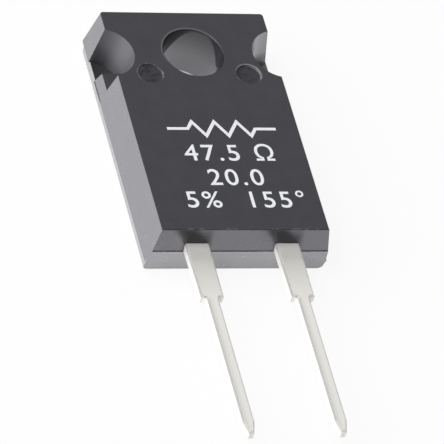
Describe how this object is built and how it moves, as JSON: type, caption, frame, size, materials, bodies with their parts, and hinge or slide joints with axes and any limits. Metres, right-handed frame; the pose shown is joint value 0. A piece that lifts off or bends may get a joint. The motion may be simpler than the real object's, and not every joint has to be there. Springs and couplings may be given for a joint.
{
  "type": "power film resistor",
  "caption": "Flat moulded power film resistor with a screw hole, stepped side notches, a metal heat spreader in its mounting face and straight necked leads.",
  "frame": {"origin": "mounting hole's axis at the mounting face", "axes": "+Z out of the front face, +Y towards the hole end with the leads pointing to -Y, +X to the right seen from the front"},
  "size_m": [0.0103, 0.0289, 0.0032],
  "materials": {
    "case": "satin black epoxy moulding compound",
    "plated_copper": "dull nickel plate on copper",
    "bond": "solder bond",
    "alumina": "white alumina",
    "film": "dark resistance film",
    "pad": "silver-bearing conductor",
    "glaze": "green glass coat",
    "solder": "solder",
    "tinned_copper": "matt tin on copper",
    "marking_ink": "white marking ink on the front face"
  },
  "bodies": {
    "root": {"case": "case", "heat_spreader": "plated_copper", "bond_layer": "bond", "substrate": "alumina", "resistive_film": "film", "left_pad": "pad", "right_pad": "pad", "overglaze": "glaze", "left_solder": "solder", "right_solder": "solder", "left_lead": "tinned_copper", "right_lead": "tinned_copper"}
  },
  "joints": []
}
